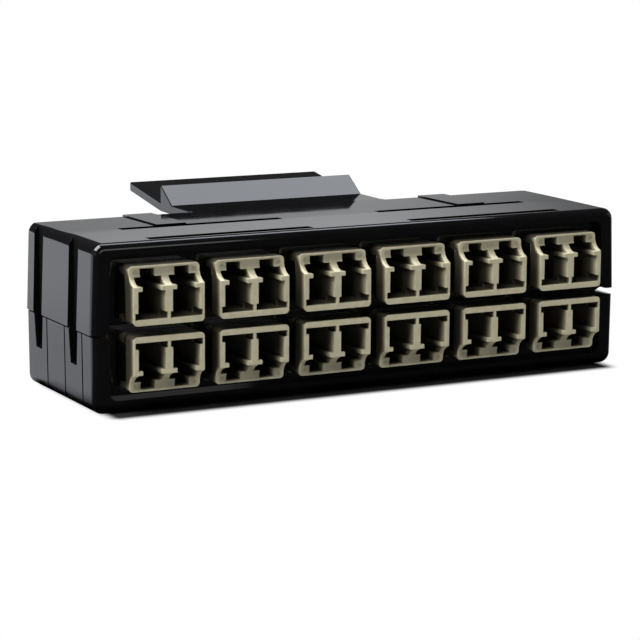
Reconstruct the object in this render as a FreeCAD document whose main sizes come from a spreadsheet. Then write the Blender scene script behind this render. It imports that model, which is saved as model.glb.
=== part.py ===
"""Fibre adapter panel: two snapped housing shells around two rows of duplex adapters.

Millimetres, +Z up, the front faces -Y. The origin is the centre of the housing's underside.
Every size stands in the sheet, and each feature reads it there.
"""
import FreeCAD
import Part
import Sketcher
import os
from types import SimpleNamespace

SIZES = {
    # housing
    "seam_width": 103.9,
    "body_height": 28.8,
    "seam_height": 13.3,
    "body_depth": 30.5,
    "side_lean": 0.035,
    "lower_lean": 0.01,
    "seam_step": 0.2,
    "wall_thick": 2.2,
    "side_thick": 3.25,
    "long_radius": 2.0,
    "front_radius": 1.2,
    "rear_bevel": 1.3,
    "recess_depth": 1.9,
    "bulkhead_thick": 2.0,
    "window_play": 0.1,
    # snap arms and their grooves on the two ends
    "groove_depth": 1.3,
    "groove_front": -6.65,
    "groove_rear": 9.1,
    "groove_top": 4.15,
    "groove_seam": 3.9,
    "groove_foot": 2.6,
    "groove_end": 7.4,
    "tab_play": 0.12,
    "tab_gap": 0.36,
    "arm_width": 7.75,
    "slit_width": 0.45,
    "slit_depth": 0.9,
    "pry_length": 6.0,
    "pry_rise": 0.75,
    "pry_drop": 0.5,
    # top face
    "slot_near": 9.7,
    "slot_far": 40.6,
    "slot_front": -12.6,
    "slot_rear": -0.75,
    "slot_width": 2.2,
    "slot_depth": 1.2,
    "rib_near": 27.5,
    "rib_far": 33.1,
    "rib_rise": 0.22,
    "rear_drop": 0.25,
    # release latch
    "latch_width": 39.6,
    "latch_thick": 1.7,
    "root_run": 2.6,
    "ramp_start": 8.2,
    "ridge_run": 4.7,
    "ridge_rise": 3.1,
    "ridge_flat": 0.35,
    "plate_run": 14.2,
    "plate_rise": 2.15,
    "plate_corner": 0.35,
    # adapters
    "column_gap": 2.94,
    "row_gap": 1.86,
    "adapter_width": 12.9,
    "adapter_height": 9.7,
    "adapter_reach": 5.9,
    "adapter_corner": 0.4,
    "port_pitch": 6.25,
    "port_width": 4.95,
    "port_floor": 1.0,
    "port_depth": 10.4,
    "core_length": 7.0,
    "relief_web": 0.51,
    "relief_wall": 0.305,
    "relief_height": 1.1,
    "relief_depth": 3.2,
    "rail_height": 0.75,
    "rail_width": 3.4,
    "throat_height": 1.4,
    "block_height": 1.35,
    "bar_thick": 0.45,
    "latch_slot": 2.65,
    "cove_run": 2.05,
    "cove_rise": 1.9,
    "flange_thick": 2.0,
    "flange_ear": 1.2,
    # retaining clips
    "clip_thick": 0.3,
    "clip_start": 3.5,
    "clip_band": 0.8,
    "clip_corner": 0.65,
    "clip_bend": 0.4,
    "clip_top": 3.3,
    "wing_spread": 0.7,
    "wing_play": 0.15,
    # alignment sleeves, moulded into the core
    "sleeve_bore": 0.625,
    "sleeve_height": 3.4,
}
ROWS = {"upper": 1, "lower": -1}
SIDES = {"left": -1, "right": 1}
NORMAL = {"XY_Plane": 1, "XZ_Plane": -1, "YZ_Plane": 1}
NEAR = 1e-4
BEYOND = 1.0
COVE_BEND = ((0, 0), (0.54, 0.28), (0.84, 0.6), (1, 1))


class Size:
    """A number together with the sheet expression that drives it."""

    def __init__(self, text, value):
        self.text = text
        self.value = value

    def __add__(self, other):
        other = size_of(other)
        return Size(f"({self.text} + {other.text})", self.value + other.value)

    def __sub__(self, other):
        other = size_of(other)
        return Size(f"({self.text} - {other.text})", self.value - other.value)

    def __mul__(self, other):
        other = size_of(other)
        return Size(f"({self.text} * {other.text})", self.value * other.value)

    def __truediv__(self, other):
        other = size_of(other)
        return Size(f"({self.text} / {other.text})", self.value / other.value)

    def __neg__(self):
        return Size(f"(-1 * {self.text})", -self.value)


def size_of(value):
    """Wrap a plain number, so that it can stand beside a size from the sheet."""
    if isinstance(value, Size):
        return value
    return Size(f"{float(value):.6f}", float(value))


def make_sheet(doc):
    """Write every size into the sheet and return the sizes by name."""
    sheet = doc.addObject("Spreadsheet::Sheet", "Sizes")
    for row, (alias, value) in enumerate(SIZES.items(), 1):
        sheet.set(f"A{row}", alias)
        sheet.set(f"B{row}", str(value))
        sheet.setAlias(f"B{row}", alias)
    doc.recompute()
    return SimpleNamespace(**{name: Size(f"Sizes.{name}", value) for name, value in SIZES.items()})


def bind(item, path, size):
    """Let an expression drive one property."""
    item.setExpression(path, size_of(size).text)


def new_body(name):
    """Start a body whose label names its file."""
    body = DOC.addObject("PartDesign::Body", name)
    body.Label = name
    return body


def sketch_on(body, name, role, offset):
    """Open a sketch on one of the body's planes, shifted along the matching world axis."""
    sketch = body.newObject("Sketcher::SketchObject", name)
    plane = next(item for item in body.Origin.OriginFeatures if item.Role == role)
    sketch.AttachmentSupport = [(plane, "")]
    sketch.MapMode = "FlatFace"
    bind(sketch, "AttachmentOffset.Base.z", size_of(offset) * NORMAL[role])
    return sketch, NORMAL[role]


def front_sketch(body, name, y_place):
    return sketch_on(body, name, "XZ_Plane", y_place)


def side_sketch(body, name, x_place):
    return sketch_on(body, name, "YZ_Plane", x_place)


def top_sketch(body, name, z_place):
    return sketch_on(body, name, "XY_Plane", z_place)


def add_polygon(opened, corners):
    """Draw a closed outline whose corners follow their expressions."""
    sketch = opened[0]
    corners = [(size_of(x), size_of(y)) for x, y in corners]
    first = sketch.GeometryCount
    spots = [FreeCAD.Vector(x.value, y.value, 0) for x, y in corners]
    count = len(spots)
    lines = [Part.LineSegment(spots[i], spots[(i + 1) % count]) for i in range(count)]
    sketch.addGeometry(lines, False)
    joins = [
        Sketcher.Constraint("Coincident", first + i, 2, first + (i + 1) % count, 1) for i in range(count)
    ]
    sketch.addConstraint(joins)
    for i, corner in enumerate(corners):
        for kind, size in zip(("DistanceX", "DistanceY"), corner):
            index = sketch.addConstraint(Sketcher.Constraint(kind, -1, 1, first + i, 1, size.value))
            sketch.setExpression(f"Constraints[{index}]", size.text)


def add_box(opened, left, right, low, high):
    """Draw an upright rectangle."""
    add_polygon(opened, [(left, low), (right, low), (right, high), (left, high)])


def add_circle(opened, x_place, y_place, radius):
    """Draw a circle whose centre and radius follow their expressions."""
    sketch = opened[0]
    centre = FreeCAD.Vector(x_place.value, y_place.value, 0)
    index = sketch.addGeometry(Part.Circle(centre, FreeCAD.Vector(0, 0, 1), radius.value), False)
    for kind, size in (("DistanceX", x_place), ("DistanceY", y_place)):
        spot = sketch.addConstraint(Sketcher.Constraint(kind, -1, 1, index, 3, size.value))
        sketch.setExpression(f"Constraints[{spot}]", size.text)
    spot = sketch.addConstraint(Sketcher.Constraint("Radius", index, radius.value))
    sketch.setExpression(f"Constraints[{spot}]", radius.text)


def grow(body, name, opened, length, toward):
    """Pad a sketch along its axis, toward +1 or -1."""
    pad = body.newObject("PartDesign::Pad", name)
    pad.Profile = opened[0]
    bind(pad, "Length", length)
    pad.Reversed = toward != opened[1]
    return pad


def cut(body, name, opened, length, toward):
    """Pocket a sketch along its axis, toward +1 or -1."""
    pocket = body.newObject("PartDesign::Pocket", name)
    pocket.Profile = opened[0]
    bind(pocket, "Length", length)
    pocket.Reversed = toward == opened[1]
    return pocket


def dress_edges(body, name, kind, size, wanted):
    """Fillet or chamfer the edges of the body so far that the test picks."""
    DOC.recompute()
    tip = body.Tip
    names = [f"Edge{i}" for i, edge in enumerate(tip.Shape.Edges, 1) if wanted(edge.BoundBox)]
    dress = body.newObject(f"PartDesign::{kind}", name)
    dress.Base = (tip, names)
    bind(dress, {"Fillet": "Radius", "Chamfer": "Size"}[kind], size)


def column_place(column):
    """Centre of an adapter column along X."""
    return COLUMN_PITCH * (column - (COLUMNS - 1) / 2)


def top_level(y_place):
    """Height of the top face, which falls a little behind the rear slots."""
    run = HALF_DEPTH - S.slot_rear
    return S.body_height - S.rear_drop * (size_of(y_place) - S.slot_rear) / run


def shell_block(body, name, seam_half, run_in, edge_height):
    """Outer block of one shell, from the seam to its flat face, with leaning ends and broken edges."""
    far_half = seam_half - run_in
    outline = front_sketch(body, f"{name}_outline", -HALF_DEPTH)
    add_polygon(outline, [
        (-seam_half, S.seam_height),
        (seam_half, S.seam_height),
        (far_half, edge_height),
        (-far_half, edge_height),
    ])
    grow(body, f"{name}_block", outline, S.body_depth, 1)
    level = edge_height.value
    seam = S.seam_height.value
    front = -HALF_DEPTH.value
    back = HALF_DEPTH.value

    def on_seam(box):
        return abs(box.ZMax - seam) < NEAR and abs(box.ZMin - seam) < NEAR

    dress_edges(
        body, f"{name}_long_edges", "Fillet", S.long_radius,
        lambda box: abs(box.ZMax - level) < NEAR and abs(box.ZMin - level) < NEAR and box.XLength < NEAR,
    )
    dress_edges(
        body, f"{name}_front_edges", "Fillet", S.front_radius,
        lambda box: abs(box.YMax - front) < NEAR and not on_seam(box),
    )
    dress_edges(
        body, f"{name}_rear_edges", "Chamfer", S.rear_bevel,
        lambda box: abs(box.YMin - back) < NEAR and not on_seam(box),
    )


def hollow_shell(body, name, low, high):
    """Front recess and rear bay, which leave the bulkhead between them."""
    recess = front_sketch(body, f"{name}_recess", -HALF_DEPTH)
    add_box(recess, -INNER_HALF, INNER_HALF, low, high)
    cut(body, f"{name}_recess_cut", recess, S.recess_depth, 1)
    bay = front_sketch(body, f"{name}_bay", HALF_DEPTH)
    add_box(bay, -INNER_HALF, INNER_HALF, low, high)
    cut(body, f"{name}_bay_cut", bay, S.body_depth - S.recess_depth - S.bulkhead_thick, -1)


def cut_windows(body, name, low, high):
    """One row of adapter windows through the bulkhead."""
    windows = front_sketch(body, name, BULKHEAD_FRONT)
    half = S.adapter_width / 2 + S.window_play
    for column in range(COLUMNS):
        centre = column_place(column)
        add_box(windows, centre - half, centre + half, low, high)
    cut(body, f"{name}_cut", windows, S.bulkhead_thick, 1)


def groove_outline(centre, low, low_width, high, high_width, play=0.0):
    """Tapered groove on an end wall, seen along X."""
    low_half = low_width / 2 - play
    high_half = high_width / 2 - play
    return [
        (centre - low_half, low),
        (centre + low_half, low),
        (centre + high_half, high),
        (centre - high_half, high),
    ]


def make_upper_housing():
    """Upper shell: windows of the upper row, end grooves, locating tabs, slots, ribs and latch root."""
    body = new_body("upper_housing")
    rise = S.body_height - S.seam_height
    shell_block(body, "upper", SEAM_HALF, S.side_lean * rise, S.body_height)
    hollow_shell(body, "upper", S.seam_height - BEYOND, S.body_height - S.wall_thick)
    low = MID_HEIGHT + S.row_gap / 2
    cut_windows(body, "upper_windows", low - S.window_play, low + S.adapter_height + S.window_play)
    cut_windows(body, "lower_notches", S.seam_height - BEYOND, MID_HEIGHT - S.row_gap / 2 + S.window_play)

    slope = side_sketch(body, "top_slope", -SEAM_HALF - BEYOND)
    add_polygon(slope, [
        (S.slot_rear, S.body_height),
        (HALF_DEPTH + BEYOND, top_level(HALF_DEPTH + BEYOND)),
        (HALF_DEPTH + BEYOND, S.body_height + BEYOND),
        (S.slot_rear, S.body_height + BEYOND),
    ])
    cut(body, "top_slope_cut", slope, S.seam_width + 2 * BEYOND, 1)

    spread = (S.groove_top - S.groove_seam) / rise * BEYOND
    for side, sign in SIDES.items():
        grooves = side_sketch(body, f"{side}_grooves", (SEAM_HALF + BEYOND) * sign)
        tabs = side_sketch(body, f"{side}_tabs", INNER_HALF * sign)
        for centre in (S.groove_front, S.groove_rear):
            add_polygon(grooves, groove_outline(
                centre, S.seam_height - BEYOND, S.groove_seam - spread,
                S.body_height + BEYOND, S.groove_top + spread,
            ))
            add_polygon(tabs, groove_outline(
                centre, S.groove_end + S.tab_gap, S.groove_foot,
                S.seam_height + BEYOND, S.groove_seam, S.tab_play,
            ))
        cut(body, f"{side}_grooves_cut", grooves, S.groove_depth + BEYOND, -sign)
        grow(body, f"{side}_tabs_pad", tabs, S.side_thick - S.groove_depth, sign)

    notch = side_sketch(body, "pry_notch", SEAM_HALF + BEYOND)
    add_box(
        notch, -HALF_DEPTH - BEYOND, -HALF_DEPTH + S.pry_length,
        S.seam_height - BEYOND, S.seam_height + S.pry_rise,
    )
    cut(body, "pry_notch_cut", notch, S.side_thick + BEYOND, -1)

    slots = top_sketch(body, "top_slots", S.body_height + BEYOND)
    for centre in (S.slot_front, S.slot_rear):
        for sign in SIDES.values():
            near, far = sorted((S.slot_near * sign, S.slot_far * sign), key=lambda size: size.value)
            add_box(slots, near, far, centre - S.slot_width / 2, centre + S.slot_width / 2)
    cut(body, "top_slots_cut", slots, S.slot_depth + BEYOND, -1)

    rib_start = S.slot_rear + S.slot_width / 2
    rib_foot = S.body_height - S.wall_thick
    for side, sign in SIDES.items():
        rib = side_sketch(body, f"{side}_rib", S.rib_near * sign)
        add_polygon(rib, [
            (rib_start, rib_foot),
            (HALF_DEPTH, rib_foot),
            (HALF_DEPTH, top_level(HALF_DEPTH) + S.rib_rise),
            (rib_start, top_level(rib_start) + S.rib_rise),
        ])
        grow(body, f"{side}_rib_pad", rib, S.rib_far - S.rib_near, sign)

    root_start = HALF_DEPTH - S.root_run
    root = side_sketch(body, "latch_root", -S.latch_width / 2)
    add_polygon(root, [
        (root_start, top_level(root_start) - S.latch_thick),
        (HALF_DEPTH, top_level(HALF_DEPTH) - S.latch_thick),
        (HALF_DEPTH, top_level(HALF_DEPTH)),
        (root_start, top_level(root_start)),
    ])
    grow(body, "latch_root_pad", root, S.latch_width, 1)
    return body


def make_lower_housing():
    """Lower shell: open windows of the lower row, slotted snap arms and the slits beside them."""
    body = new_body("lower_housing")
    shell_block(body, "lower", LOWER_HALF, S.lower_lean * S.seam_height, size_of(0))
    hollow_shell(body, "lower", S.wall_thick, S.seam_height + BEYOND)
    low = MID_HEIGHT - S.row_gap / 2 - S.adapter_height - S.window_play
    cut_windows(body, "lower_windows", low, S.seam_height + BEYOND)

    spread = (S.groove_seam - S.groove_foot) / (S.seam_height - S.groove_end) * BEYOND
    for side, sign in SIDES.items():
        outside = (LOWER_HALF + BEYOND) * sign
        grooves = side_sketch(body, f"{side}_slots", outside)
        for centre in (S.groove_front, S.groove_rear):
            add_polygon(grooves, groove_outline(
                centre, S.groove_end, S.groove_foot,
                S.seam_height + BEYOND, S.groove_seam + spread,
            ))
        cut(body, f"{side}_slots_cut", grooves, LOWER_HALF + BEYOND - INNER_HALF, -sign)
        slits = side_sketch(body, f"{side}_slits", outside)
        for centre in (
            S.groove_front - S.arm_width / 2,
            S.groove_front + S.arm_width / 2,
            S.groove_rear - S.arm_width / 2,
        ):
            add_box(
                slits, centre - S.slit_width / 2, centre + S.slit_width / 2,
                -BEYOND, S.seam_height + BEYOND,
            )
        cut(body, f"{side}_slits_cut", slits, S.slit_depth + BEYOND, -sign)

    ramp = front_sketch(body, "pry_ramp", -HALF_DEPTH - BEYOND)
    add_polygon(ramp, [
        (INNER_HALF, S.seam_height),
        (LOWER_HALF, S.seam_height - S.pry_drop),
        (LOWER_HALF + BEYOND, S.seam_height - S.pry_drop),
        (LOWER_HALF + BEYOND, S.seam_height + BEYOND),
        (INNER_HALF, S.seam_height + BEYOND),
    ])
    cut(body, "pry_ramp_cut", ramp, S.pry_length + BEYOND, 1)
    return body


def make_release_latch():
    """Sprung tongue with its wedge and finger plate."""
    body = new_body("release_latch")
    level = top_level(HALF_DEPTH)
    tip = HALF_DEPTH + S.ramp_start
    crest = tip + S.ridge_run
    catch = crest + S.ridge_flat
    end = catch + S.plate_run
    profile = side_sketch(body, "latch_profile", -S.latch_width / 2)
    add_polygon(profile, [
        (HALF_DEPTH, level - S.latch_thick),
        (catch, level - S.latch_thick),
        (end, level + S.plate_rise - S.latch_thick),
        (end, level + S.plate_rise),
        (catch, level),
        (catch, level + S.ridge_rise),
        (crest, level + S.ridge_rise),
        (tip, level),
        (HALF_DEPTH, level),
    ])
    grow(body, "latch_pad", profile, S.latch_width, 1)
    rear = end.value
    dress_edges(
        body, "plate_corners", "Fillet", S.plate_corner,
        lambda box: abs(box.YMin - rear) < NEAR and box.XLength < NEAR,
    )
    return body


def port_outline(centre):
    """One plug port seen from the front, with its rails and its latch slot."""
    floor = -S.adapter_height / 2 + S.port_floor
    bar_foot = S.adapter_height / 2 - S.bar_thick
    block_foot = bar_foot - S.block_height
    rail_foot = RAIL_TOP - S.rail_height
    half = [
        (S.port_width / 2, floor),
        (S.port_width / 2, rail_foot),
        (S.rail_width / 2, rail_foot),
        (S.rail_width / 2, RAIL_TOP),
        (S.port_width / 2, RAIL_TOP),
        (S.port_width / 2, block_foot),
        (S.latch_slot / 2, block_foot),
        (S.latch_slot / 2, bar_foot),
    ]
    right = [(centre + x, z) for x, z in half]
    left = [(centre - x, z) for x, z in reversed(half)]
    return right + left


def open_ports(body, name, mouth, toward, length):
    """Both ports, the relief at their lower corners and the cove above the rails at one mouth."""
    ports = front_sketch(body, f"{name}_ports", mouth)
    reliefs = front_sketch(body, f"{name}_reliefs", mouth)
    floor = -S.adapter_height / 2 + S.port_floor
    relief_end = S.adapter_width / 2 - S.relief_wall
    for sign in SIDES.values():
        centre = S.port_pitch / 2 * sign
        add_polygon(ports, port_outline(centre))
        inner, outer = sorted((S.relief_web / 2 * sign, relief_end * sign), key=lambda size: size.value)
        add_box(reliefs, inner, outer, floor, floor + S.relief_height)
    cut(body, f"{name}_ports_cut", ports, length, toward)
    cut(body, f"{name}_reliefs_cut", reliefs, S.relief_depth, toward)
    cove = side_sketch(body, f"{name}_cove", -S.adapter_width / 2 - BEYOND)
    above = S.adapter_height / 2 + BEYOND
    curve = [(mouth + S.cove_run * run * toward, RAIL_TOP + S.cove_rise * rise) for run, rise in COVE_BEND]
    add_polygon(cove, [
        (mouth - BEYOND * toward, RAIL_TOP),
        *curve,
        (mouth + S.cove_run * toward, above),
        (mouth - BEYOND * toward, above),
    ])
    cut(body, f"{name}_cove_cut", cove, S.adapter_width + 2 * BEYOND, 1)


def adapter_block(body, name, start, length):
    """Outer block of an adapter half with its long edges broken."""
    outline = front_sketch(body, f"{name}_outline", start)
    half_width = S.adapter_width / 2
    half_height = S.adapter_height / 2
    add_box(outline, -half_width, half_width, -half_height, half_height)
    grow(body, f"{name}_block", outline, length, 1)
    dress_edges(
        body, f"{name}_corners", "Chamfer", S.adapter_corner,
        lambda box: box.XLength < NEAR and box.ZLength < NEAR,
    )


def clip_band(play):
    """Open band around three sides of an adapter, seen from the front."""
    half_width = S.adapter_width / 2 + play
    half_height = S.adapter_height / 2 + play
    inner_width = S.adapter_width / 2 - S.clip_thick
    inner_height = S.adapter_height / 2 - S.clip_thick
    return [
        (-half_width, S.clip_top),
        (-half_width, S.clip_corner - half_height),
        (S.clip_corner - half_width, -half_height),
        (half_width - S.clip_corner, -half_height),
        (half_width, S.clip_corner - half_height),
        (half_width, S.clip_top),
        (inner_width, S.clip_top),
        (inner_width, S.clip_bend - inner_height),
        (inner_width - S.clip_bend, -inner_height),
        (S.clip_bend - inner_width, -inner_height),
        (-inner_width, S.clip_bend - inner_height),
        (-inner_width, S.clip_top),
    ]


def make_adapter_front():
    """Front half of an adapter: ports, core with the sleeve bores, flange and clip seat."""
    body = new_body("adapter_front_pattern")
    adapter_block(body, "front", size_of(0), WELD_PLACE)
    flange = front_sketch(body, "flange", S.adapter_reach + S.bulkhead_thick)
    half_width = S.adapter_width / 2 + S.flange_ear
    half_height = S.adapter_height / 2 - S.adapter_corner
    add_box(flange, -half_width, half_width, -half_height, half_height)
    grow(body, "flange_pad", flange, S.flange_thick, 1)
    open_ports(body, "front", size_of(0), 1, S.port_depth)
    bores = front_sketch(body, "bores", S.port_depth)
    for sign in SIDES.values():
        add_circle(bores, S.port_pitch / 2 * sign, SLEEVE_LEVEL, S.sleeve_bore)
    cut(body, "bores_cut", bores, S.core_length, 1)
    seat = front_sketch(body, "clip_seat", S.clip_start)
    add_polygon(seat, clip_band(size_of(BEYOND)))
    cut(body, "clip_seat_cut", seat, S.clip_band, 1)
    for side, sign in SIDES.items():
        pocket = side_sketch(body, f"{side}_pocket", (S.adapter_width / 2 + BEYOND) * sign)
        add_box(
            pocket, S.clip_start + S.clip_band, S.adapter_reach + S.bulkhead_thick,
            -S.clip_top, S.clip_top,
        )
        cut(body, f"{side}_pocket_cut", pocket, S.clip_thick + BEYOND, -sign)
    return body


def make_adapter_rear():
    """Rear half of an adapter, welded to the core."""
    body = new_body("adapter_rear_pattern")
    adapter_block(body, "rear", WELD_PLACE, S.port_depth)
    open_ports(body, "rear", WELD_PLACE + S.port_depth, -1, S.port_depth)
    return body


def make_clip():
    """Spring clip: a band in the adapter's seat and two wings that catch the bulkhead."""
    body = new_body("clip_pattern")
    band = front_sketch(body, "clip_outline", S.clip_start)
    add_polygon(band, clip_band(size_of(0)))
    grow(body, "clip_band_pad", band, S.clip_band, 1)
    wings = top_sketch(body, "clip_wings", -S.clip_top + S.clip_thick)
    start = S.clip_start + S.clip_band / 2
    end = S.adapter_reach - S.wing_play
    for sign in SIDES.values():
        outer = S.adapter_width / 2
        add_polygon(wings, [
            ((outer - S.clip_thick) * sign, start),
            (outer * sign, start),
            ((outer + S.wing_spread) * sign, end),
            ((outer + S.wing_spread - S.clip_thick) * sign, end),
            ((outer - S.clip_thick) * sign, start + S.clip_band / 2),
        ])
    grow(body, "clip_wings_pad", wings, (S.clip_top - S.clip_thick) * 2, 1)
    return body


def place_copy(label, pattern, x_place, z_place, turned):
    """A copy of a pattern piece at its adapter's place, turned over in the lower row."""
    copy = DOC.addObject("Part::Compound", label)
    copy.Label = label
    copy.Links = [pattern]
    if turned:
        turn = FreeCAD.Rotation(FreeCAD.Vector(0, 1, 0), 180)
        copy.Placement = FreeCAD.Placement(FreeCAD.Vector(), turn)
    for axis, size in zip("xyz", (x_place, ADAPTER_FRONT, z_place)):
        bind(copy, f".Placement.Base.{axis}", size)
    return copy


def place_adapters():
    """All adapters with their clips, row by row."""
    patterns = {
        "adapter_front": make_adapter_front(),
        "adapter_rear": make_adapter_rear(),
        "clip": make_clip(),
    }
    pieces = []
    for row, sign in ROWS.items():
        level = MID_HEIGHT + (S.adapter_height + S.row_gap) / 2 * sign
        for column in range(COLUMNS):
            centre = column_place(column)
            for name, pattern in patterns.items():
                label = f"{name}_{row}_{column + 1}"
                pieces.append(place_copy(label, pattern, centre, level, sign < 0))
    return pieces


def export(pieces):
    """Check every object, then write one file for each piece."""
    DOC.recompute()
    for item in DOC.Objects:
        if "Invalid" in item.State or "Error" in item.State:
            raise RuntimeError(f"{item.Label} did not build: {item.State}")
    os.makedirs("parts", exist_ok=True)
    for piece in pieces:
        if piece.Shape.isNull() or not piece.Shape.isValid():
            raise RuntimeError(f"{piece.Label} has no valid shape")
        piece.Shape.exportStep(f"parts/{piece.Label}.step")
        print(piece.Label, len(piece.Shape.Solids), round(piece.Shape.Volume, 2))


DOC = FreeCAD.newDocument("FibreAdapterPanel")
S = make_sheet(DOC)
HALF_DEPTH = S.body_depth / 2
SEAM_HALF = S.seam_width / 2
LOWER_HALF = SEAM_HALF - S.seam_step
INNER_HALF = SEAM_HALF - S.side_thick
COLUMN_PITCH = S.adapter_width + S.column_gap
COLUMNS = int((INNER_HALF * 2 / COLUMN_PITCH).value)
MID_HEIGHT = S.body_height / 2
BULKHEAD_FRONT = S.recess_depth - HALF_DEPTH
ADAPTER_FRONT = BULKHEAD_FRONT - S.adapter_reach
WELD_PLACE = S.port_depth + S.core_length
SLEEVE_LEVEL = S.sleeve_height - S.adapter_height / 2
RAIL_TOP = S.adapter_height / 2 - S.bar_thick - S.block_height - S.throat_height

export([make_upper_housing(), make_lower_housing(), make_release_latch()] + place_adapters())
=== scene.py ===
"""Dresses the packed fibre adapter panel: soft moulded edges, finishes, studio and camera."""
import logging
import math
from collections.abc import Callable
from dataclasses import dataclass
from enum import Enum

import bmesh
import bpy
from mathutils import Euler, Matrix, Vector
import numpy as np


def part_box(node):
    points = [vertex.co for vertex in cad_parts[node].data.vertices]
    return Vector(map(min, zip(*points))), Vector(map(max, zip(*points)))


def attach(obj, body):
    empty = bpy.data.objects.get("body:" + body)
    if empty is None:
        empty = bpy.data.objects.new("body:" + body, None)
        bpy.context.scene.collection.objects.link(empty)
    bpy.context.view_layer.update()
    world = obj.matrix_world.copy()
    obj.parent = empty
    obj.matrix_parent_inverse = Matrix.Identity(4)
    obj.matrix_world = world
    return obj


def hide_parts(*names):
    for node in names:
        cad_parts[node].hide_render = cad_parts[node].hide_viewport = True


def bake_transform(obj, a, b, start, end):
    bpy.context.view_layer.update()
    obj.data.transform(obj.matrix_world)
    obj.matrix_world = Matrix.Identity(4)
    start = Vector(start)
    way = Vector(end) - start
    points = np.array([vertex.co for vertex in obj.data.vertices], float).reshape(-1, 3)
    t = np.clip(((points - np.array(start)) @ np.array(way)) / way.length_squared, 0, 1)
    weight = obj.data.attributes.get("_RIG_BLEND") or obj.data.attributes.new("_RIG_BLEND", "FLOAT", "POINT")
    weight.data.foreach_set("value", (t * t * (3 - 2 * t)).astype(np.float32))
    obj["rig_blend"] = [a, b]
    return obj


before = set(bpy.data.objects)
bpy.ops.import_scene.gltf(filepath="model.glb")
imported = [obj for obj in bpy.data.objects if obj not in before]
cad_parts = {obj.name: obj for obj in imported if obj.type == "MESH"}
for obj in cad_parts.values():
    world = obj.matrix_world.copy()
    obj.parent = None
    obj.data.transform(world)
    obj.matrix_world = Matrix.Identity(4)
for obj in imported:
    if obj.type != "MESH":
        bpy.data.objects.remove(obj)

LOG = logging.getLogger("adapter_panel")
MM = 0.001
SHADE_DEPTH = "port_depth"
MIX_A, MIX_B, MIX_RESULT = 6, 7, 2
SMOOTH = {"interpolation_type": "SMOOTHSTEP"}
TIMES = {"operation": "MULTIPLY"}
MINUS = {"operation": "SUBTRACT"}
LARGER = {"operation": "MAXIMUM"}
WHITE = "#ffffff"
MERGE_MM = 0.002
TOUCH_MM = 0.01
FLAT_DEG = 0.4
Zone = Callable[[Vector, Vector], bool]


class Body(Enum):
    """The moving bodies of the part."""

    HOUSING = "housing"
    LATCH = "latch"


class Slot(Enum):
    """The record's material slots."""

    HOUSING = "housing_black"
    ADAPTER = "adapter_ivory"
    CLIP = "clip_steel"


def linear(text: str) -> tuple[float, float, float, float]:
    """Turn an sRGB hex colour to linear.

    Args:
        text: the colour, such as "#e6e0cb".

    Returns:
        Red, green, blue and an alpha of 1.
    """
    parts = [int(text[i:i + 2], 16) / 255 for i in (1, 3, 5)]
    flat = [c / 12.92 if c <= 0.04045 else ((c + 0.055) / 1.055) ** 2.4 for c in parts]
    return flat[0], flat[1], flat[2], 1.0


def add_node(
    tree: bpy.types.NodeTree,
    kind: str,
    settings: dict[str, object] | None = None,
    values: dict[str | int, object] | None = None,
    links: dict[str | int, bpy.types.NodeSocket] | None = None,
) -> bpy.types.Node:
    """Add a node with its settings, socket values and incoming links.

    Args:
        tree: the node tree.
        kind: the node's type name.
        settings: attributes of the node.
        values: defaults of its input sockets.
        links: output sockets that feed its input sockets.

    Returns:
        The new node.
    """
    node = tree.nodes.new(kind)
    for name, value in (settings or {}).items():
        setattr(node, name, value)
    for name, value in (values or {}).items():
        node.inputs[name].default_value = value
    for name, socket in (links or {}).items():
        tree.links.new(socket, node.inputs[name])
    return node


@dataclass(frozen=True)
class Ramp:
    """A value that goes from one level to another between two places."""

    start: float
    end: float
    first: float = 0.0
    last: float = 1.0

    @property
    def values(self) -> dict[str, float]:
        """The ramp as the inputs of a Map Range node."""
        return {"From Min": self.start, "From Max": self.end, "To Min": self.first, "To Max": self.last}


@dataclass(frozen=True)
class Relief:
    """A faint unevenness of a surface: its pitch along each axis and its height."""

    pitch_mm: tuple[float, float, float]
    height_mm: float


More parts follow.
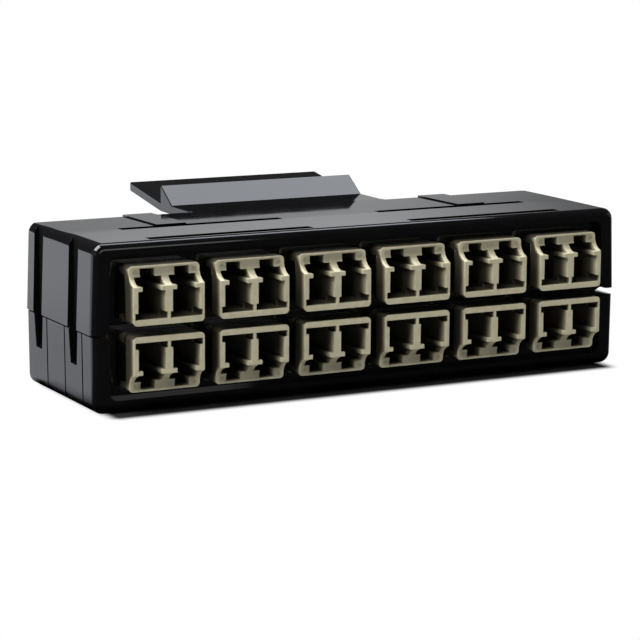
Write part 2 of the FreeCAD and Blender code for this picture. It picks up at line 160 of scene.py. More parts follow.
@dataclass(frozen=True)
class Finish:
    """A moulded plastic, a ceramic or a plain metal, with its patches of tone and gloss."""

    name: str
    colour: str
    mottle: str
    mottle_mm: float
    gloss: tuple[float, float]
    ior: float = 1.5
    metallic: float = 0.0
    reliefs: tuple[Relief, ...] = ()
    # Colour that the finish darkens to with the depth noted on the mesh: painted shade.
    painted_shade_colour: str | None = None
    painted_shade_at_mm: float = 3.9
    patch_share: Ramp = Ramp(0.35, 0.65)
    patch_gloss: tuple[float, float] = (0.3, 0.7)
    noise_detail: float = 2.0
    painted_shade_power: float = 2.0

    def build(self) -> bpy.types.Material:
        """Make the material.

        Returns:
            The node material.
        """
        material = bpy.data.materials.new(self.name)
        material.use_nodes = True
        tree = material.node_tree
        tree.nodes.clear()
        patches = self._noise(tree, (self.mottle_mm,) * 3)
        share = add_node(
            tree, "ShaderNodeMapRange", values=self.patch_share.values, links={"Value": patches},
        ).outputs["Result"]
        colour = add_node(
            tree, "ShaderNodeMix", settings={"data_type": "RGBA"},
            values={MIX_A: linear(self.colour), MIX_B: linear(self.mottle)}, links={0: share},
        ).outputs[MIX_RESULT]
        # Painted shade: darken the colour with the depth noted on the mesh.
        if self.painted_shade_colour:
            colour = self._paint_shade(tree, colour)
        dullness = add_node(
            tree, "ShaderNodeMapRange", values=Ramp(*self.patch_gloss, *self.gloss).values,
            links={"Value": patches},
        )
        shader = add_node(
            tree, "ShaderNodeBsdfPrincipled", values={"IOR": self.ior, "Metallic": self.metallic},
            links={"Base Color": colour, "Roughness": dullness.outputs["Result"]},
        )
        normal = None
        for relief in self.reliefs:
            bump = add_node(
                tree, "ShaderNodeBump", values={"Strength": 1.0, "Distance": relief.height_mm * MM},
                links={"Height": self._noise(tree, relief.pitch_mm)},
            )
            if normal is not None:
                tree.links.new(normal, bump.inputs["Normal"])
            normal = bump.outputs["Normal"]
        if normal is not None:
            tree.links.new(normal, shader.inputs["Normal"])
        add_node(tree, "ShaderNodeOutputMaterial", links={"Surface": shader.outputs["BSDF"]})
        return material

    def _noise(self, tree: bpy.types.NodeTree, pitch_mm: tuple[float, ...]) -> bpy.types.NodeSocket:
        """Noise with its own pitch along each axis.

        Args:
            tree: the node tree.
            pitch_mm: size of one patch along X, Y and Z.

        Returns:
            The noise's socket.
        """
        place = add_node(tree, "ShaderNodeTexCoord")
        spread = add_node(
            tree, "ShaderNodeMapping", values={"Scale": [1 / (pitch * MM) for pitch in pitch_mm]},
            links={"Vector": place.outputs["Object"]},
        )
        noise = add_node(
            tree, "ShaderNodeTexNoise", values={"Scale": 1.0, "Detail": self.noise_detail},
            links={"Vector": spread.outputs["Vector"]},
        )
        return noise.outputs["Fac"]

    def _paint_shade(self, tree: bpy.types.NodeTree, colour: bpy.types.NodeSocket) -> bpy.types.NodeSocket:
        """Darken the colour with the depth that is noted on the mesh: painted shade.

        Args:
            tree: the node tree.
            colour: the colour at the mouth.

        Returns:
            The colour's socket.
        """
        depth = add_node(tree, "ShaderNodeAttribute", settings={"attribute_name": SHADE_DEPTH})
        near = add_node(
            tree, "ShaderNodeMapRange", values=Ramp(self.painted_shade_at_mm, 0.0).values,
            links={"Value": depth.outputs["Fac"]},
        )
        share = add_node(
            tree, "ShaderNodeMath", settings={"operation": "POWER"}, values={1: self.painted_shade_power},
            links={0: near.outputs["Result"]},
        )
        deep = add_node(
            tree, "ShaderNodeMix", settings={"data_type": "RGBA"}, values={MIX_A: linear(self.painted_shade_colour)},
            links={0: share.outputs[0], MIX_B: colour},
        )
        return deep.outputs[MIX_RESULT]


# Black ABS from a polished mould: a mirror at a low angle, nearly black from the front, with
# upright flow streaks that stretch what it mirrors.
BLACK_ABS = Finish(
    name="black_abs_polished", colour="#08080a", mottle="#0b0b0c", mottle_mm=6.0, gloss=(0.035, 0.07),
    ior=1.6, reliefs=(Relief((9.0, 2.6, 60.0), 0.003), Relief((14.0, 14.0, 14.0), 0.008)),
)
# The same ABS, with a dull skin and a darker black, on the floors of the end walls' grooves: painted shade
# that keeps them black and mirrors nothing. Its index is below that of ABS, to match the photograph's black
# grooves.
GROOVE_SHADE_ABS = Finish(
    name="black_abs_groove_shade", colour="#040405", mottle="#060607", mottle_mm=0.8, gloss=(0.7, 0.85), ior=1.2,
)
# Ivory PBT with a satin skin: warm and softly shining on its edges. Its colour darkens with the depth noted
# on the mesh: painted shade in the deep ports and on the outer walls behind the mouth.
IVORY_PBT = Finish(
    name="ivory_pbt_satin", colour="#c8c2a4", mottle="#bfb898", mottle_mm=1.6, gloss=(0.3, 0.42), ior=1.52,
    reliefs=(Relief((0.5, 0.5, 0.5), 0.006),), painted_shade_colour="#3a362b", painted_shade_at_mm=2.9,
)
# Dark spring steel strip, rolled and oiled: a brownish grey with dull and bright patches.
SPRING_STEEL = Finish(
    name="spring_steel_oiled", colour="#4a4843", mottle="#37342f", mottle_mm=1.2, gloss=(0.3, 0.45),
    metallic=1.0,
)
# Zirconia, ground smooth: a cool white with a hard shine.
ZIRCONIA = Finish(
    name="zirconia_ground", colour="#d8d6cf", mottle="#cfcdc5", mottle_mm=0.8, gloss=(0.15, 0.22), ior=2.1,
)


def everywhere(start: Vector, end: Vector) -> bool:
    """Take an edge wherever it lies."""
    return True


@dataclass(frozen=True)
class EdgePass:
    """One round of edge rounding: how far, in how many steps, and which edges."""

    width_mm: float
    segments: int = 2
    turn_deg: tuple[float, float] = (60.0, 180.0)
    zone: Zone = everywhere

    def apply(self, work: bmesh.types.BMesh) -> None:
        """Round the edges that this pass takes.

        Args:
            work: the mesh.
        """
        edges = [edge for edge in work.edges if self._takes(edge)]
        if not edges:
            return
        bmesh.ops.bevel(
            work, geom=edges, offset=self.width_mm * MM, offset_type="OFFSET", segments=self.segments,
            profile=0.5, affect="EDGES", clamp_overlap=True, loop_slide=True, material=-1,
        )

    def _takes(self, edge: bmesh.types.BMEdge) -> bool:
        """Tell whether an edge turns far enough and lies in the zone.

        Args:
            edge: the edge.

        Returns:
            True where the edge is to be rounded.
        """
        if len(edge.link_faces) != 2:
            return False
        turn = math.degrees(edge.calc_face_angle(0.0))
        return self.turn_deg[0] <= turn < self.turn_deg[1] and self.zone(*[vert.co for vert in edge.verts])


def soften(node: str, passes: tuple[EdgePass, ...]) -> bmesh.types.BMesh:
    """Copy a CAD node's mesh, join its flat faces and round its edges.

    Args:
        node: the CAD node's name.
        passes: the rounds of edge rounding, in order.

    Returns:
        The new mesh.
    """
    work = bmesh.new()
    work.from_mesh(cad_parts[node].data)
    bmesh.ops.remove_doubles(work, verts=work.verts[:], dist=MERGE_MM * MM)
    bmesh.ops.dissolve_limit(
        work, angle_limit=math.radians(FLAT_DEG), use_dissolve_boundaries=False,
        verts=work.verts[:], edges=work.edges[:], delimit=set(),
    )
    for step in passes:
        step.apply(work)
    bmesh.ops.recalc_face_normals(work, faces=work.faces[:])
    return work


def cut_across(work: bmesh.types.BMesh, place: Vector, normal: Vector) -> None:
    """Cut the faces of a mesh along a plane and keep both sides.

    Args:
        work: the mesh.
        place: a point of the plane.
        normal: the plane's normal.
    """
    parts = work.verts[:] + work.edges[:] + work.faces[:]
    bmesh.ops.bisect_plane(work, geom=parts, plane_co=place, plane_no=normal)


def finish_mesh(work: bmesh.types.BMesh, name: str, smooth_deg: float = 40.0) -> bpy.types.Object:
    """Turn a bmesh into a smooth-shaded piece in the scene.

    Args:
        work: the bmesh, which is freed.
        name: the piece's name.
        smooth_deg: edges that turn further than this stay sharp.

    Returns:
        The new object.
    """
    mesh = bpy.data.meshes.new(name)
    work.to_mesh(mesh)
    work.free()
    # The loaded mesh's own normals would override the smooth shading of the rounded edges.
    loaded_normals = mesh.attributes.get("custom_normal")
    if loaded_normals:
        mesh.attributes.remove(loaded_normals)
    mesh.shade_smooth()
    mesh.set_sharp_from_angle(angle=math.radians(smooth_deg))
    piece = bpy.data.objects.new(name, mesh)
    bpy.context.scene.collection.objects.link(piece)
    weighted = piece.modifiers.new("face_weight", "WEIGHTED_NORMAL")
    weighted.keep_sharp = True
    return piece


def dress(piece: bpy.types.Object, material: bpy.types.Material) -> None:
    """Give a piece its material and log its number of faces.

    Args:
        piece: the piece.
        material: its finish.
    """
    piece.data.materials.clear()
    piece.data.materials.append(material)
    LOG.info("piece %s: %d faces", piece.name, len(piece.data.polygons))


@dataclass
class Housing:
    """The two black shells, with sizes in millimetres in the part's frame."""

    seam_mm: float = 13.3
    top_mm: float = 28.8
    end_from_mm: float = 50.95
    wall_from_mm: float = 49.9
    half_width_mm: float = 51.95
    inner_half_mm: float = 48.7
    front_mm: float = -15.25
    bulkhead_mm: float = -13.35
    groove_centres_mm: tuple[float, float] = (-6.65, 9.1)
    groove_half_mm: float = 2.3
    slots_mm: tuple[tuple[float, float], ...] = ((-12.6, 1.15), (-0.75, 1.15))
    slot_rim_mm: float = 0.5
    recess_run_mm: float = 1.0
    slant_deg: tuple[float, float] = (38.0, 60.0)
    groove_round_mm: float = 0.12
    groove_floor_mm: float = 50.65
    floor_touch_mm: float = 0.05
    level_share: float = 0.99
    seam_draw_mm: tuple[float, float] = (0.2, 0.16)
    corner_round_mm: float = 1.4
    rim_round_mm: float = 0.3
    edge_round_mm: float = 0.12

    def build(self, black: bpy.types.Material, dull: bpy.types.Material) -> None:
        """Round and dress both shells.

        Args:
            black: the shells' finish.
            dull: the finish of the grooves' floors.
        """
        passes = (
            EdgePass(self.corner_round_mm, segments=4, zone=self._in_recess_corner),
            EdgePass(self.groove_round_mm, segments=3, zone=self._on_groove),
            EdgePass(self.rim_round_mm, segments=3, zone=self._on_rim),
            EdgePass(self.edge_round_mm, zone=self._off_slot),
            EdgePass(self.edge_round_mm, turn_deg=self.slant_deg, zone=self._off_slot),
        )
        for node, rise in (("upper_housing", 1), ("lower_housing", -1)):
            work = soften(node, passes)
            self._draw_in(work, rise)
            self._frame_grooves(work)
            piece = finish_mesh(work, f"{node}_moulding")
            dress(piece, black)
            self._shade_groove_floors(piece, dull)
            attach(piece, Body.HOUSING.value)
            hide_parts(node)

    def _off_seam(self, start: Vector, end: Vector) -> bool:
        """Tell whether an edge leaves the plane of the seam."""
        return max(abs(spot.z - self.seam_mm * MM) for spot in (start, end)) > TOUCH_MM * MM

    def _on_groove(self, start: Vector, end: Vector) -> bool:
        """Tell whether an edge borders a groove of an end wall."""
        return self._off_seam(start, end) and all(
            abs(spot.x) > self.end_from_mm * MM
            and min(abs(spot.y / MM - centre) for centre in self.groove_centres_mm) < self.groove_half_mm
            for spot in (start, end)
        )

    def _shade_groove_floors(self, piece: bpy.types.Object, dull: bpy.types.Material) -> None:
        """Give the floors of a shell's grooves their dull, darker finish, which paints their shade.

        Args:
            piece: the dressed shell.
            dull: the finish.
        """
        piece.data.materials.append(dull)
        for face in piece.data.polygons:
            aside = abs(abs(face.center.x) / MM - self.groove_floor_mm)
            if aside < self.floor_touch_mm and abs(face.normal.x) > self.level_share:
                face.material_index = 1

    def _draw_in(self, work: bmesh.types.BMesh, rise: int) -> None:
        """Draw a shell's outer wall in at the seam, which leaves a fine groove between the shells.

        Args:
            work: the shell's mesh.
            rise: 1 on the shell above the seam, else -1.
        """
        depth, height = self.seam_draw_mm
        cut_across(work, Vector((0, 0, (self.seam_mm + rise * height) * MM)), Vector((0, 0, 1)))
        lip = [
            vert for vert in work.verts
            if not self._off_seam(vert.co, vert.co) and self._on_outside(vert.co)
        ]
        shrink = Vector((1 - depth / self.half_width_mm, 1 + depth / self.front_mm, 1))
        bmesh.ops.scale(work, vec=shrink, verts=lip)

    def _frame_grooves(self, work: bmesh.types.BMesh) -> None:
        """Cut the faces close beside the grooves, so that the rounding there shades no further out.

        Args:
            work: the shell's mesh.
        """
        for centre in self.groove_centres_mm:
            for side in (-1, 1):
                beside = (centre + side * self.groove_half_mm) * MM
                cut_across(work, Vector((0, beside, 0)), Vector((0, 1, 0)))

    def _on_outside(self, spot: Vector) -> bool:
        """Tell whether a point lies on an end wall's outside or on the front rim."""
        return abs(spot.x) > self.wall_from_mm * MM or spot.y < (self.front_mm + TOUCH_MM) * MM

    def _in_recess_corner(self, start: Vector, end: Vector) -> bool:
        """Tell whether an edge runs rearward along a corner of the front recess."""
        return abs(start.z - end.z) < TOUCH_MM * MM and all(
            abs(abs(spot.x) - self.inner_half_mm * MM) < TOUCH_MM * MM
            and self.front_mm - TOUCH_MM < spot.y / MM < self.bulkhead_mm + TOUCH_MM
            for spot in (start, end)
        ) and abs(start.y - end.y) > self.recess_run_mm * MM

    def _off_slot(self, start: Vector, end: Vector) -> bool:
        """Tell whether an edge is clear of the seam and of the top face's slots, which stay sharp."""
        return self._off_seam(start, end) and not all(
            spot.z > (self.top_mm - self.slot_rim_mm) * MM
            and any(abs(spot.y / MM - centre) < half for centre, half in self.slots_mm)
            for spot in (start, end)
        )

    def _on_rim(self, start: Vector, end: Vector) -> bool:
        """Tell whether an edge lies on the front rim's face."""
        return self._off_seam(start, end) and all(
            abs(spot.y - self.front_mm * MM) < TOUCH_MM * MM for spot in (start, end)
        )


@dataclass
class ReleaseLatch:
    """The sprung tongue, which bends between its root and its wedge."""

    node: str = "release_latch"
    edge_round_mm: float = 0.25
    bend_cuts: int = 6
    bend_length_mm: float = 7.5
    round_steps: int = 3
    turn_deg: tuple[float, float] = (50.0, 180.0)
    smooth_deg: float = 28.0

    def build(self, black: bpy.types.Material) -> None:
        """Round the latch, cut its tongue into strips and let it bend.

        Args:
            black: the latch's finish.
        """
        low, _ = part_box(self.node)
        rounding = EdgePass(self.edge_round_mm, self.round_steps, self.turn_deg, self._behind_root)
        work = soften(self.node, (rounding,))
        for cut in range(1, self.bend_cuts):
            place = low.y + self.bend_length_mm * MM * cut / self.bend_cuts
            cut_across(work, Vector((0, place, 0)), Vector((0, 1, 0)))
        piece = finish_mesh(work, "release_latch_moulding", self.smooth_deg)
        dress(piece, black)
        root = Vector((0, low.y, low.z))
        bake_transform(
            piece, Body.HOUSING.value, Body.LATCH.value,
            start=root, end=root + Vector((0, self.bend_length_mm * MM, 0)),
        )
        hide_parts(self.node)

    def _behind_root(self, start: Vector, end: Vector) -> bool:
        """Leave out the edges of the face at the root, which meets the upper shell."""
        return max(start.y, end.y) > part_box(self.node)[0].y + TOUCH_MM * MM


@dataclass
class Adapters:
    """All duplex adapters: two welded halves, a clip and two sleeves each."""

    columns: int = 6
    width_mm: float = 12.9
    height_mm: float = 9.7
    port_pitch_mm: float = 6.25
    port_depth_mm: float = 10.4
    wall_mm: float = 0.28
    rail_level_mm: float = 1.65
    cove_mm: tuple[tuple[float, float], ...] = (
        (0.0, 0.0), (0.53, 1.11), (1.14, 1.72), (1.9, 2.05), (9.0, 2.05),
    )
    corner_round_mm: float = 0.3
    corner_deg: tuple[float, float] = (40.0, 50.0)
    edge_round_mm: float = 0.14
    edge_deg: tuple[float, float] = (52.0, 180.0)
    clip_round_mm: float = 0.05
    sleeve_height_mm: float = 3.4
    sleeve_radius_mm: float = 0.98
    sleeve_bore_mm: float = 0.63
    sleeve_proud_mm: float = 0.2
    sleeve_sides: int = 24
    mark_place_mm: tuple[float, float] = (5.35, 3.85)
    mark_radius_mm: float = 0.42
    mark_rim_mm: float = 0.13
    mark_proud_mm: float = 0.07
    mark_sides: int = 16
    # The painted shade: how much faster it falls on the ports' floors, the outer sides and the flat outer
    # walls, how much of the cove counts, and the cuts that carry it.
    floor_mm: float = 2.1
    floor_fade: float = 3.0
    side_fade: float = 1.75
    cove_share: float = 0.62
    fade_cuts_mm: tuple[float, ...] = (0.5, 1.0, 1.6, 2.3, 3.2, 4.5)
    flat_fade: float = 6.0

    def build(
        self, ivory: bpy.types.Material, steel: bpy.types.Material, ceramic: bpy.types.Material
    ) -> None:
        """Round and dress every adapter.

        Args:
            ivory: finish of the halves.
            steel: finish of the clips.
            ceramic: finish of the sleeves.
        """
        for row, up in (("upper", 1), ("lower", -1)):
            marks = bmesh.new()
            marks.verts.layers.float.new(SHADE_DEPTH)
            rings = bmesh.new()
            for column in range(1, self.columns + 1):
                place = f"{row}_{column}"
                self._half(f"adapter_front_{place}", up, 1, ivory, marks)
                self._half(f"adapter_rear_{place}", up, -1, ivory, marks)
                self._clip(f"clip_{place}", steel)
                self._sleeves(f"adapter_front_{place}", up, rings)
            for work, name, material in (
                (marks, f"ejector_marks_{row}", ivory), (rings, f"sleeve_rings_{row}", ceramic),
            ):
                piece = finish_mesh(work, name)
                dress(piece, material)
                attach(piece, Body.HOUSING.value)

    def _half(
        self, node: str, up: int, toward: int, ivory: bpy.types.Material, marks: bmesh.types.BMesh
    ) -> None:
        """Round one half, note the depth that its painted shade follows and add its ejector marks.

        Args:
            node: the CAD node's name.
            up: 1 where the latch slots are at the top, else -1.
            toward: 1 where the ports run rearward from their mouth, else -1.
            ivory: the finish.
            marks: the mesh that takes the row's ejector marks.
        """
        low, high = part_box(node)
        mouth = Vector(((low.x + high.x) / 2, low.y if toward > 0 else high.y, (low.z + high.z) / 2))
        work = soften(node, (
            EdgePass(self.corner_round_mm, turn_deg=self.corner_deg),
            EdgePass(self.edge_round_mm, turn_deg=self.edge_deg),
        ))
        for depth in self.fade_cuts_mm:
            cut_across(work, mouth + Vector((0, depth * toward * MM, 0)), Vector((0, 1, 0)))
        cut_across(work, mouth + Vector((0, 0, self.rail_level_mm * up * MM)), Vector((0, 0, 1)))
        layer = work.verts.layers.float.new(SHADE_DEPTH)
        for vert in work.verts:
            vert[layer] = self._depth((vert.co - mouth) / MM, up, toward)
        piece = finish_mesh(work, f"{node}_moulding")
        dress(piece, ivory)
        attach(piece, Body.HOUSING.value)
        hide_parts(node)
        for side in (-1, 1):
            self._mark(marks, mouth, side, up, toward)

    def _cove(self, height: float) -> float:
        """How far the cove above the rails sets the mouth back.

        Args:
            height: the height from the adapter's middle, towards its latch slots, in millimetres.

        Returns:
            The distance in millimetres.
        """
        above = max(0.0, height - self.rail_level_mm)
        for (low, near), (high, far) in zip(self.cove_mm, self.cove_mm[1:]):
            if above <= high:
                return near + (far - near) * (above - low) / (high - low)
        return self.cove_mm[-1][1]

    def _depth(self, spot: Vector, up: int, toward: int) -> float:
        """Depth of a point behind the adapter's mouth, which sets its painted shade and counts for more on
        its outside.

        Args:
            spot: the point, from the middle of the adapter's mouth, in millimetres.
            up: 1 where the latch slots are at the top, else -1.
            toward: 1 where the ports run rearward from their mouth, else -1.

        Returns:
            The depth in millimetres.
        """
        cove = self._cove(spot.z * up)
        behind = max(0.0, spot.y * toward - cove)
        if abs(spot.z) > self.height_mm / 2 - self.wall_mm:
            return behind * self.flat_fade
        if abs(spot.x) > self.width_mm / 2 - self.wall_mm:
            return behind * self.side_fade
        if spot.z * up < self.floor_mm - self.height_mm / 2:
            return behind * self.floor_fade
        return behind + (1 - self.cove_share) * cove

    def _mark(self, work: bmesh.types.BMesh, mouth: Vector, side: int, up: int, toward: int) -> None:
        """One round ejector mark with its raised rim, on a corner block.

        Args:
            work: the mesh that takes it.
            mouth: middle of the adapter's mouth.
            side: -1 at the left block, 1 at the right one.
            up: 1 where the latch slots are at the top, else -1.
            toward: 1 where the ports run rearward from their mouth, else -1.
        """
        across, height = self.mark_place_mm
        normal = Vector((0, -toward, 0))
        spot = mouth + Vector((side * across, self._cove(height) * toward, height * up)) * MM
        turn = Matrix.Translation(spot) @ normal.to_track_quat("Z", "Y").to_matrix().to_4x4()
        made = bmesh.ops.create_circle(
            work, cap_ends=True, segments=self.mark_sides, radius=self.mark_radius_mm * MM, matrix=turn,
        )["verts"]
        face = made[0].link_faces[0]
        if face.normal.dot(normal) < 0:
            face.normal_flip()
        raised = bmesh.ops.extrude_face_region(work, geom=[face])["geom"]
        cap = next(item for item in raised if isinstance(item, bmesh.types.BMFace))
        bmesh.ops.translate(work, vec=normal * self.mark_proud_mm * MM, verts=cap.verts[:])
        bmesh.ops.inset_region(work, faces=[cap], thickness=self.mark_rim_mm * MM, use_even_offset=True)
        bmesh.ops.inset_region(
            work, faces=[cap], thickness=self.mark_rim_mm / 4 * MM, depth=-self.mark_proud_mm / 2 * MM,
            use_even_offset=True,
        )
        # The mark takes the painted shade of the spot where it stands.
        layer = work.verts.layers.float[SHADE_DEPTH]
        for vert in work.verts:
            if (vert.co - spot).length < 2 * self.mark_radius_mm * MM:
                vert[layer] = self._depth((spot - mouth) / MM, up, toward)

    def _clip(self, node: str, steel: bpy.types.Material) -> None:
        """Round one spring clip, dress it and let it ride on the housing.

        Args:
            node: the CAD node's name.
            steel: the finish.
        """
        piece = finish_mesh(soften(node, (EdgePass(self.clip_round_mm, 1),)), f"{node}_strip")
        dress(piece, steel)
        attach(piece, Body.HOUSING.value)
        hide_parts(node)

    def _sleeves(self, node: str, up: int, work: bmesh.types.BMesh) -> None:
        """Ceramic rings around the ferrule bores of one adapter, at both faces of its core.

        Args:
            node: the CAD node with the core.
            up: 1 where the latch slots are at the top, else -1.
            work: the mesh that takes the rings.
        """
        low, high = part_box(node)
        foot = low.z if up > 0 else high.z
        for side in (-0.5, 0.5):
            spot_x = (low.x + high.x) / 2 + side * self.port_pitch_mm * MM
            spot_z = foot + up * self.sleeve_height_mm * MM
            for face, toward in ((low.y + self.port_depth_mm * MM, -1), (high.y, 1)):
                self._ring(work, Vector((spot_x, face, spot_z)), toward)

    def _ring(self, work: bmesh.types.BMesh, spot: Vector, toward: int) -> None:
        """One short ring that stands a little proud of a core's face.

        Args:
            work: the mesh that takes it.
            spot: the bore's middle on the face.
            toward: the way the face looks along Y.
        """
        turn = Matrix.Translation(spot) @ Matrix.Rotation(math.radians(90), 4, "X")
        made = bmesh.ops.create_circle(
            work, cap_ends=False, segments=self.sleeve_sides, radius=self.sleeve_bore_mm * MM, matrix=turn
        )["verts"]
        rims = list({edge for vert in made for edge in vert.link_edges})
        grow = self.sleeve_radius_mm / self.sleeve_bore_mm
        steps = (
            (Vector((1, 1, 1)), Vector((0, toward * self.sleeve_proud_mm * MM, 0))),
            (Vector((grow, 1, grow)), Vector()),
            (Vector((1, 1, 1)), Vector((0, -toward * self.sleeve_proud_mm * MM, 0))),
        )
        faces: list[bmesh.types.BMFace] = []
        for scale, move in steps:
            grown = bmesh.ops.extrude_edge_only(work, edges=rims)["geom"]
            verts = [item for item in grown if isinstance(item, bmesh.types.BMVert)]
            rims = [item for item in grown if isinstance(item, bmesh.types.BMEdge)]
            faces += [item for item in grown if isinstance(item, bmesh.types.BMFace)]
            bmesh.ops.scale(work, vec=scale, space=Matrix.Translation(-spot), verts=verts)
            bmesh.ops.translate(work, vec=move, verts=verts)
        bmesh.ops.recalc_face_normals(work, faces=faces)


@dataclass(frozen=True)
class SoftLight:
    """A soft box: its places and sides in metres, and its face's brightness, where 1 is white."""

    name: str
    place: tuple[float, float, float]
    target: tuple[float, float, float]
    span: tuple[float, float]
    brightness: float
    tint: str = WHITE
    mirrored: bool = True

    def build(self) -> None:
        """Hang the light and point it at its target."""
        data = bpy.data.lights.new(self.name, "AREA")
        data.shape = "RECTANGLE"
        data.size, data.size_y = self.span
        data.energy = self.brightness * math.pi * self.span[0] * self.span[1]
        data.color = linear(self.tint)[:3]
        light = bpy.data.objects.new(self.name, data)
        light.location = self.place
        heading = Vector(self.target) - Vector(self.place)
        light.rotation_euler = heading.to_track_quat("-Z", "Y").to_euler()
        light.visible_camera = False
        light.visible_glossy = self.mirrored
        bpy.context.scene.collection.objects.link(light)


@dataclass
class Studio:
    """The white floor, the room around it, the soft lights and the camera.

    The ramps of the floor's painted reflection run over its own X and Y in metres. Those of the room run over
    the parts
    of a direction: a low bright band stands behind the part, with a dimmer one at both flanks.
    """

    floor_span_m: float = 4.0
    floor_level_mm: float = -0.02
    # Beside the footprint the paper's colour turns from its far tone to its near, dark one: a painted shadow.
    footprint_mm: tuple[float, float] = (48.0, 14.6)
    footprint_shift_mm: float = -3.0
    shade_mm: tuple[float, float] = (0.2, 3.4)
    # The floor's glow in reflections darkens near the foot: painted shade in a painted reflection.
    foot_mm: tuple[float, float] = (51.0, 14.6)
    foot_shade_mm: tuple[float, float] = (0.5, 7.0)
    paper: tuple[str, str] = ("#2a2a2a", "#b0b0b0")
    painted_reflection_tint: str = "#f4f7ff"
    painted_reflection_depth: Ramp = Ramp(-0.014, 0.004, 0.05, 1.08)
    painted_reflection_side: Ramp = Ramp(-0.11, -0.06, 1.0, 0.75)
    room_tint: str = "#fcfdff"
    room_level: Ramp = Ramp(0.0, 1.0, 0.05, 0.74)
    band_top: Ramp = Ramp(0.17, 0.23, 1.0, 0.0)
    band_lift: Ramp = Ramp(0.125, 0.155, 0.62, 1.0)
    band_rear: Ramp = Ramp(-0.2, 0.3)
    band_left: Ramp = Ramp(0.1, 0.5)
    band_right: Ramp = Ramp(0.47, 0.60, 1.0, 0.0)
    flank_side: Ramp = Ramp(0.64, 0.72, 0.0, 0.36)
    flank_top: Ramp = Ramp(0.34, 0.44, 1.0, 0.0)
    lights: tuple[SoftLight, ...] = (
        SoftLight("overhead_light", (0.06, 0.12, 0.52), (0.06, 0.10, 0.0), (0.54, 0.24), 3.6, "#f2f6ff"),
        SoftLight("left_light", (-0.43, -0.07, 0.73), (0.0, 0.0, 0.02), (0.70, 0.70), 8.0),
        SoftLight("front_light", (0.18, -0.87, 0.16), (0.0, 0.0, 0.02), (0.40, 0.30), 1.2),
        SoftLight("rear_light", (0.25, 0.85, 0.45), (0.0, 0.0, 0.015), (0.40, 0.30), 12.0, mirrored=False),
    )
    camera_place_mm: tuple[float, float, float] = (-208.86, -393.55, 92.27)
    yaw_deg: float = 27.812
    pitch_deg: float = 10.516
    roll_deg: float = 0.379
    focal_px: float = 2514.95
    image_px: int = 640
    sensor_mm: float = 36.0
    clip_start_m: float = 0.01

    def build(self) -> None:
        """Set the whole stage up."""
        bpy.context.scene.view_settings.view_transform = "Standard"
        self._floor()
        self._room()
        for light in self.lights:
            light.build()
        self._camera()

    def _floor(self) -> None:
        """A pale floor that keeps the part's shadow and reads white away from it."""
        work = bmesh.new()
        bmesh.ops.create_grid(work, x_segments=1, y_segments=1, size=self.floor_span_m / 2)
        bmesh.ops.translate(work, vec=Vector((0, 0, self.floor_level_mm * MM)), verts=work.verts[:])
        mesh = bpy.data.meshes.new("floor")
        work.to_mesh(mesh)
        work.free()
        floor = bpy.data.objects.new("floor", mesh)
        bpy.context.scene.collection.objects.link(floor)
        mesh.materials.append(self._paper())

    def _paper(self) -> bpy.types.Material:
        """Make the floor's material.

        Returns:
            White paper with a painted shadow beside the part, seen in reflections as a graded white glow: a
            painted reflection.
        """
        # Matt white paper: the eye sees plain white, a soft shadow at the foot and no gloss. The shadow is
        # partly the lamps' own and partly painted, as the paper's colour turns dark beside the part.
        material = bpy.data.materials.new("paper_painted_shadow_and_reflection")
        material.use_nodes = True
        tree = material.node_tree
        tree.nodes.clear()
        path = add_node(tree, "ShaderNodeLightPath")
        place = add_node(tree, "ShaderNodeTexCoord").outputs["Object"]
        split = add_node(tree, "ShaderNodeSeparateXYZ", links={0: place})
        depth = add_node(
            tree, "ShaderNodeMapRange", SMOOTH, self.painted_reflection_depth.values, {"Value": split.outputs["Y"]},
        )
        aside = add_node(
            tree, "ShaderNodeMapRange", SMOOTH, self.painted_reflection_side.values, {"Value": split.outputs["X"]},
        )
        clear = self._clear_of_part(tree, place, self.footprint_mm, self.shade_mm)
        foot = self._clear_of_part(tree, place, self.foot_mm, self.foot_shade_mm)
        open_floor = add_node(tree, "ShaderNodeMath", TIMES, links={0: aside.outputs["Result"], 1: foot})
        level = add_node(
            tree, "ShaderNodeMath", TIMES, links={0: depth.outputs["Result"], 1: open_floor.outputs[0]},
        )
        # Painted shadow: the paper's colour darkens beside the part's footprint.
        near, far = self.paper
        tone = add_node(
            tree, "ShaderNodeMix", {"data_type": "RGBA"}, {MIX_A: linear(near), MIX_B: linear(far)},
            {0: clear},
        )
        paper = add_node(tree, "ShaderNodeBsdfDiffuse", links={"Color": tone.outputs[MIX_RESULT]})
        white = add_node(tree, "ShaderNodeEmission", values={"Color": linear(WHITE), "Strength": 1.0})
        # Glossy rays see a glow graded from front to back and darkened near the foot instead of the lit
        # paper: a painted reflection with painted shade.
        mirrored = add_node(
            tree, "ShaderNodeEmission", values={"Color": linear(self.painted_reflection_tint)},
            links={"Strength": level.outputs[0]},
        )
        direct = add_node(
            tree, "ShaderNodeMath", LARGER,
            links={0: path.outputs["Is Camera Ray"], 1: path.outputs["Is Transmission Ray"]},
        )
        share = add_node(tree, "ShaderNodeMath", TIMES, links={0: direct.outputs[0], 1: clear})
        seen = add_node(
            tree, "ShaderNodeMixShader",
            links={0: share.outputs[0], 1: paper.outputs[0], 2: white.outputs[0]},
        )
        glossy = add_node(
            tree, "ShaderNodeMixShader",
            links={0: path.outputs["Is Glossy Ray"], 1: seen.outputs[0], 2: mirrored.outputs[0]},
        )
        add_node(tree, "ShaderNodeOutputMaterial", links={"Surface": glossy.outputs[0]})
        return material

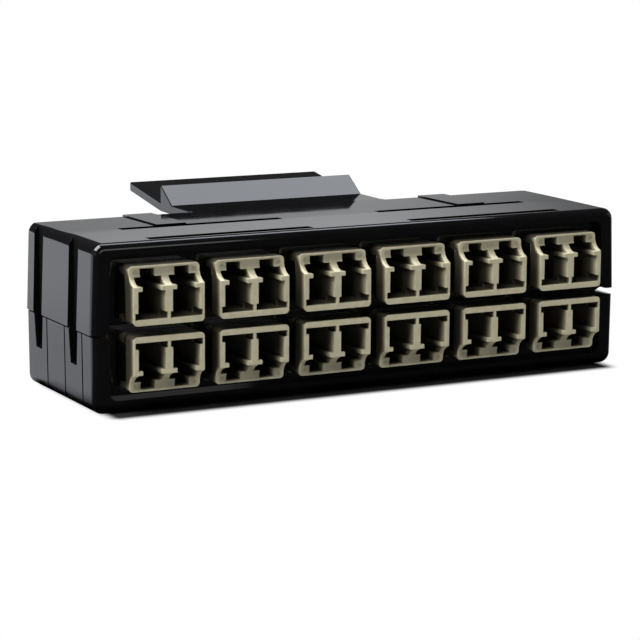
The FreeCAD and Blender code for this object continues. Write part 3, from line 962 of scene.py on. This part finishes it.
    def _clear_of_part(
        self,
        tree: bpy.types.NodeTree,
        place: bpy.types.NodeSocket,
        halves_mm: tuple[float, float],
        range_mm: tuple[float, float],
    ) -> bpy.types.NodeSocket:
        """Rise from 0 beside the part's footprint to 1 a little way off.

        Args:
            tree: the floor's node tree.
            place: the floor's own coordinates.
            halves_mm: half the footprint's two sides.
            range_mm: how far off the rise starts and ends.

        Returns:
            The socket with the share.
        """
        halves = [side * MM for side in halves_mm] + [1.0]
        shift = (0.0, self.footprint_shift_mm * MM, 0.0)
        moved = add_node(tree, "ShaderNodeVectorMath", MINUS, {1: shift}, {0: place})
        reach = add_node(tree, "ShaderNodeVectorMath", {"operation": "ABSOLUTE"}, links={0: moved.outputs[0]})
        past = add_node(tree, "ShaderNodeVectorMath", MINUS, {1: halves}, {0: reach.outputs[0]})
        beyond = add_node(tree, "ShaderNodeVectorMath", LARGER, links={0: past.outputs[0]})
        gap = add_node(tree, "ShaderNodeVectorMath", {"operation": "LENGTH"}, links={0: beyond.outputs[0]})
        rise = Ramp(range_mm[0] * MM, range_mm[1] * MM)
        share = add_node(
            tree, "ShaderNodeMapRange", SMOOTH, rise.values, {"Value": gap.outputs["Value"]},
        )
        return share.outputs["Result"]

    def _room(self) -> None:
        """White to the camera, a bright low band behind the part and dim elsewhere."""
        world = bpy.data.worlds.new("studio_room")
        bpy.context.scene.world = world
        world.use_nodes = True
        tree = world.node_tree
        tree.nodes.clear()
        path = add_node(tree, "ShaderNodeLightPath")
        place = add_node(tree, "ShaderNodeTexCoord")
        split = add_node(tree, "ShaderNodeSeparateXYZ", links={0: place.outputs["Generated"]})
        sideways = add_node(tree, "ShaderNodeMath", {"operation": "ABSOLUTE"}, links={0: split.outputs["X"]})
        shares: dict[str, bpy.types.NodeSocket] = {}
        for name, ramp, part, settings in (
            ("top", self.band_top, split.outputs["Z"], None),
            ("lift", self.band_lift, split.outputs["Z"], None),
            ("rear", self.band_rear, split.outputs["Y"], None),
            ("left", self.band_left, split.outputs["X"], SMOOTH),
            ("right", self.band_right, split.outputs["X"], SMOOTH),
            ("flank_side", self.flank_side, sideways.outputs[0], SMOOTH),
            ("flank_top", self.flank_top, split.outputs["Z"], None),
        ):
            node = add_node(tree, "ShaderNodeMapRange", settings, ramp.values, {"Value": part})
            shares[name] = node.outputs["Result"]
        band = shares["top"]
        for name in ("lift", "rear", "left", "right"):
            band = add_node(tree, "ShaderNodeMath", TIMES, links={0: band, 1: shares[name]}).outputs[0]
        flank = add_node(
            tree, "ShaderNodeMath", TIMES, links={0: shares["flank_side"], 1: shares["flank_top"]},
        )
        total = add_node(tree, "ShaderNodeMath", {"operation": "ADD"}, links={0: band, 1: flank.outputs[0]})
        level = add_node(
            tree, "ShaderNodeMapRange", values=self.room_level.values, links={"Value": total.outputs[0]},
        )
        room = add_node(
            tree, "ShaderNodeBackground", values={"Color": linear(self.room_tint)},
            links={"Strength": level.outputs["Result"]},
        )
        white = add_node(tree, "ShaderNodeBackground", values={"Color": linear(WHITE), "Strength": 1.0})
        direct = add_node(
            tree, "ShaderNodeMath", LARGER,
            links={0: path.outputs["Is Camera Ray"], 1: path.outputs["Is Transmission Ray"]},
        )
        mixed = add_node(
            tree, "ShaderNodeMixShader",
            links={0: direct.outputs[0], 1: room.outputs[0], 2: white.outputs[0]},
        )
        add_node(tree, "ShaderNodeOutputWorld", links={"Surface": mixed.outputs[0]})

    def _camera(self) -> None:
        """The photograph's viewpoint."""
        data = bpy.data.cameras.new("photo_view")
        data.sensor_fit = "HORIZONTAL"
        data.sensor_width = self.sensor_mm
        data.lens = self.sensor_mm * self.focal_px / self.image_px
        data.clip_start = self.clip_start_m
        camera = bpy.data.objects.new("photo_view", data)
        heading = Euler((math.radians(90 - self.pitch_deg), 0, math.radians(-self.yaw_deg))).to_matrix()
        roll = Matrix.Rotation(math.radians(self.roll_deg), 3, "Z")
        camera.matrix_world = (heading @ roll).to_4x4()
        camera.location = Vector(self.camera_place_mm) * MM
        bpy.context.scene.collection.objects.link(camera)
        bpy.context.scene.camera = camera


def main() -> None:
    """Build every piece, then the stage."""
    logging.basicConfig(level=logging.INFO, format="%(name)s: %(message)s")
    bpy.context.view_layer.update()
    black = BLACK_ABS.build()
    Housing().build(black, GROOVE_SHADE_ABS.build())
    ReleaseLatch().build(black)
    Adapters().build(IVORY_PBT.build(), SPRING_STEEL.build(), ZIRCONIA.build())
    Studio().build()


if __name__ == "__main__":
    main()
